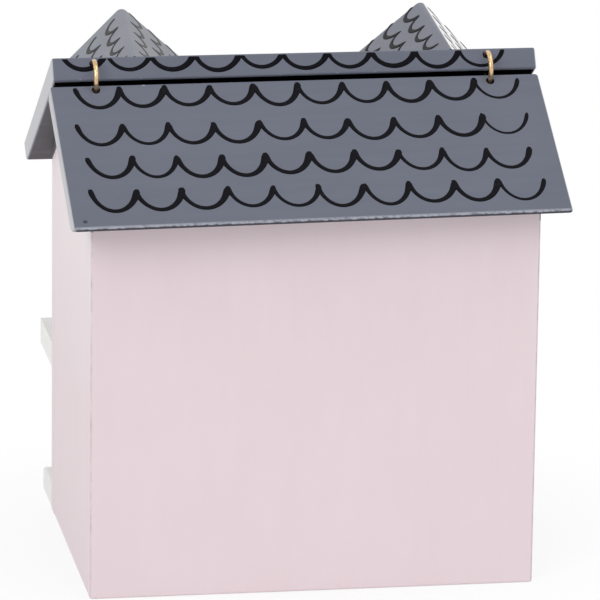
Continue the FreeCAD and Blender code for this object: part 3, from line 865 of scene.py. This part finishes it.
def on_plane(origin, right, up):
    right, up = Vector(right), Vector(up)
    columns = Matrix((right, up, right.cross(up))).transposed().to_4x4()
    return Matrix.Translation(origin) @ columns


roof_brush = 0.00083
roof_cups = {"Cups": 10, "Cup_pitch": 0.0110, "Depth": 0.0070}
lid_rows = (
    (0.0002, 0.0010, {"Dry end": 0.32}),
    (0.0005, 0.0138, {"Dry end": 0.4, "Cup pitch": 0.01112, "Tilt": 0.006}),
    (0.0005, 0.0252, {"Dry end": 0.1, "Cup pitch": 0.01085}),
    (0.0000, 0.0363, {"Dry end": 0.15, "Cup pitch": 0.01105}),
)
lid_seats = []
for shift, drop, own_sizes in lid_rows:
    spot = lid_top + drop * rear_down
    lid_seats.append((on_plane((shift, *spot), (-1, 0, 0), (0, -slope_run, slope_rise)), own_sizes))
brush_rows("lid_scallops", "lid", lid_seats, Seed=3, **roof_cups)

strip_up = Vector((-slope_rise, slope_run))
strip_shift, strip_row_height, strip_paint_top = 0.0029, 0.0062, 0.0051
strip_middle = ridge_edge + strip_row_height * strip_up
strip_plane = on_plane((strip_shift, *strip_middle), (-1, 0, 0), (0, *strip_up))
strip_top = ridge_edge + strip_paint_top * strip_up
strip_edge = (Vector((0, *strip_top)), Vector((0, *strip_up)))
strip_seats = [(strip_plane, {"Dry end": 0.2})]
strip_cups = {"Cups": 10, "Cup_pitch": 0.01095, "Depth": 0.0046, "Tilt": -0.0155, "Brush": 0.0008}
brush_rows("strip_scallops", "house", strip_seats, shear=strip_edge, Seed=5, **strip_cups)

front_seats = []
for drop in (0.0035, 0.0145, 0.0340, 0.0450, 0.0560):
    spot = ridge_crest + drop * front_down
    front_seats.append((on_plane((0, *spot), (1, 0, 0), (0, slope_run, slope_rise)), {"Dry end": 0.2}))
dormer_backs = {side: dormer_seat(side).inverted() for side in dormers}
leaf_margin, slot_margin = 0.0006, 0.001


def clear_of_leaves(spot):
    for back in dormer_backs.values():
        local = back @ spot
        leaf_top = leaf_margin - abs(local.x) * math.tan(dormer_pitch)
        if abs(local.x) < dormer_half and local.z < leaf_top:
            return False
    return True


def open_roof(spot):
    along_slot = abs(spot.x) < slot_long / 2 + slot_margin
    across_slot = abs(spot.y + slot_setback) < slot_wide / 2 + slot_margin
    return not (along_slot and across_slot) and clear_of_leaves(spot)


brush_rows("front_scallops", "house", front_seats, keep=open_roof, Seed=11, **roof_cups)

leaf_run, leaf_rise = math.cos(dormer_pitch), math.sin(dormer_pitch)
leaf_cups, leaf_rows = 5, 3
cup_pitch, row_pitch, first_row = 0.0117, 0.0065, 0.0024
leaf_size = {"Cups": leaf_cups, "Rows": leaf_rows, "Cup_pitch": cup_pitch, "Row_pitch": row_pitch}
leaf_size.update({"Depth": 0.0036, "Brush": 0.00092})
leaf_start = {("right", "plus"): 0.0055}
leaf_ink = {("right", "plus"): satin_ink, ("right", "minus"): faint_ink, ("left", "minus"): glossy_ink}
roof_margin = 0.0005


def leaf_of(side):
    def on_leaf(spot):
        local = dormer_backs[side] @ spot
        above = (spot.z - ridge_crest.y) - (spot.y - ridge_crest.x) * math.tan(pitch)
        return above > roof_margin and abs(local.x) < dormer_half - leaf_margin

    return on_leaf


for side in dormers:
    for hand, sign in (("plus", 1), ("minus", -1)):
        below = first_row + (leaf_rows - 1) / 2 * row_pitch
        along = leaf_cups / 2 * cup_pitch - dormer_length + leaf_start.get((side, hand), 0.0)
        middle = Vector((sign * below * leaf_run, along, -below * leaf_rise))
        leaf_plane = on_plane(middle, (0, sign, 0), (-sign * leaf_run, 0, leaf_rise))
        leaf_seats = [(dormer_seat(side) @ leaf_plane, {})]
        leaf_size.update({"Paint": leaf_ink.get((side, hand), ink), "Seed": 17 + 5 * sign})
        name = "dormer_scallops_%s_%s" % (side, hand)
        brush_rows(name, "house", leaf_seats, keep=leaf_of(side), **leaf_size)


# Stage: a pale paper floor in a white room, seen as white and lighting the box a little less.
# Two large soft lamps, and the camera at the photograph's view.
floor_form = bmesh.new()
bmesh.ops.create_grid(floor_form, x_segments=1, y_segments=1, size=4.0)
stage_floor = shaped("stage_floor", floor_form)
paper, paper_tree, paper_shader, paper_place = new_material("floor_paper")
fibre = noise(paper_tree, paper_place, 400.0)
paper_white = blend_colour(paper_tree, fibre, (0.93, 0.93, 0.93, 1), (0.95, 0.95, 0.95, 1))
paper_tree.links.new(paper_white, paper_shader.inputs["Base Color"])
paper_shader.inputs["Roughness"].default_value = 0.9
paper_shader.inputs["Specular IOR Level"].default_value = 0.1
glow = add(paper_tree, "ShaderNodeEmission", in_1=1.0)
way_off = add(paper_tree, "ShaderNodeVectorMath", [(0, paper_place)], operation="LENGTH").outputs["Value"]
lit = reckon(paper_tree, "MULTIPLY_ADD", way_off, 3.5, 0.6)
lit = reckon(paper_tree, "MINIMUM", lit, 1.0)
eye = add(paper_tree, "ShaderNodeLightPath")
plain_sight = reckon(paper_tree, "MAXIMUM", eye.outputs["Is Camera Ray"], eye.outputs["Is Glossy Ray"])
plain_sight = reckon(paper_tree, "MAXIMUM", plain_sight, eye.outputs["Is Transmission Ray"])
lit_paper = add(paper_tree, "ShaderNodeMixShader", [(1, paper_shader.outputs[0]), (2, glow.outputs[0])])
paper_tree.links.new(reckon(paper_tree, "MULTIPLY", lit, plain_sight), lit_paper.inputs[0])
paper_tree.links.new(lit_paper.outputs[0], paper_tree.nodes["Material Output"].inputs["Surface"])
stage_floor.data.materials.append(paper)

world = bpy.data.worlds.new("white_room")
bpy.context.scene.world = world
world.use_nodes = True
room = world.node_tree
room_light = room.nodes["Background"]
room_light.inputs["Strength"].default_value = 0.67
room_seen = room.nodes.new("ShaderNodeBackground")
room_seen.inputs["Strength"].default_value = 1.0
for shade in (room_light, room_seen):
    shade.inputs["Color"].default_value = (1, 1, 1, 1)
path = room.nodes.new("ShaderNodeLightPath")
seen = reckon(room, "MAXIMUM", path.outputs["Is Camera Ray"], path.outputs["Is Glossy Ray"])
seen = reckon(room, "MAXIMUM", seen, path.outputs["Is Transmission Ray"])
mixed = room.nodes.new("ShaderNodeMixShader")
room.links.new(seen, mixed.inputs[0])
room.links.new(room_light.outputs[0], mixed.inputs[1])
room.links.new(room_seen.outputs[0], mixed.inputs[2])
room.links.new(mixed.outputs[0], room.nodes["World Output"].inputs["Surface"])


def soft_lamp(name, place, aim, size, power):
    lamp = bpy.data.lights.new(name, "AREA")
    lamp.shape = "DISK"
    lamp.size = size
    lamp.energy = power
    holder = bpy.data.objects.new(name, lamp)
    holder.location = place
    holder.rotation_euler = (Vector(aim) - Vector(place)).to_track_quat("-Z", "Y").to_euler()
    bpy.context.scene.collection.objects.link(holder)


soft_lamp("key_softbox", (0.85, 1.1, 1.0), (0, 0, 0.06), 0.9, 8.4)
soft_lamp("top_softbox", (-0.5, 0.3, 1.5), (0, 0, 0.06), 0.9, 4.0)

turn, tilt, bank = (math.radians(angle) for angle in (-9.7589, 14.8777, 0.7902))
ahead = Vector((math.sin(turn), -math.cos(turn), 0))
beside = Vector((-math.cos(turn), -math.sin(turn), 0))
rise = Vector((0, 0, 1))
look = ahead * math.cos(tilt) - rise * math.sin(tilt)
head = rise * math.cos(tilt) + ahead * math.sin(tilt)
right = beside * math.cos(bank) + head * math.sin(bank)
over = head * math.cos(bank) - beside * math.sin(bank)
lens = bpy.data.cameras.new("photo_camera")
lens.lens = 323.38
lens.sensor_width = 36.0
lens.clip_end = 50.0
camera = bpy.data.objects.new("photo_camera", lens)
stance = Matrix((right, over, -look)).transposed().to_4x4()
stand_point = (0.217303, 1.277817, 0.408159)
camera.matrix_world = Matrix.Translation(stand_point) @ stance
bpy.context.scene.collection.objects.link(camera)
bpy.context.scene.camera = camera
bpy.context.scene.view_settings.view_transform = "Standard"
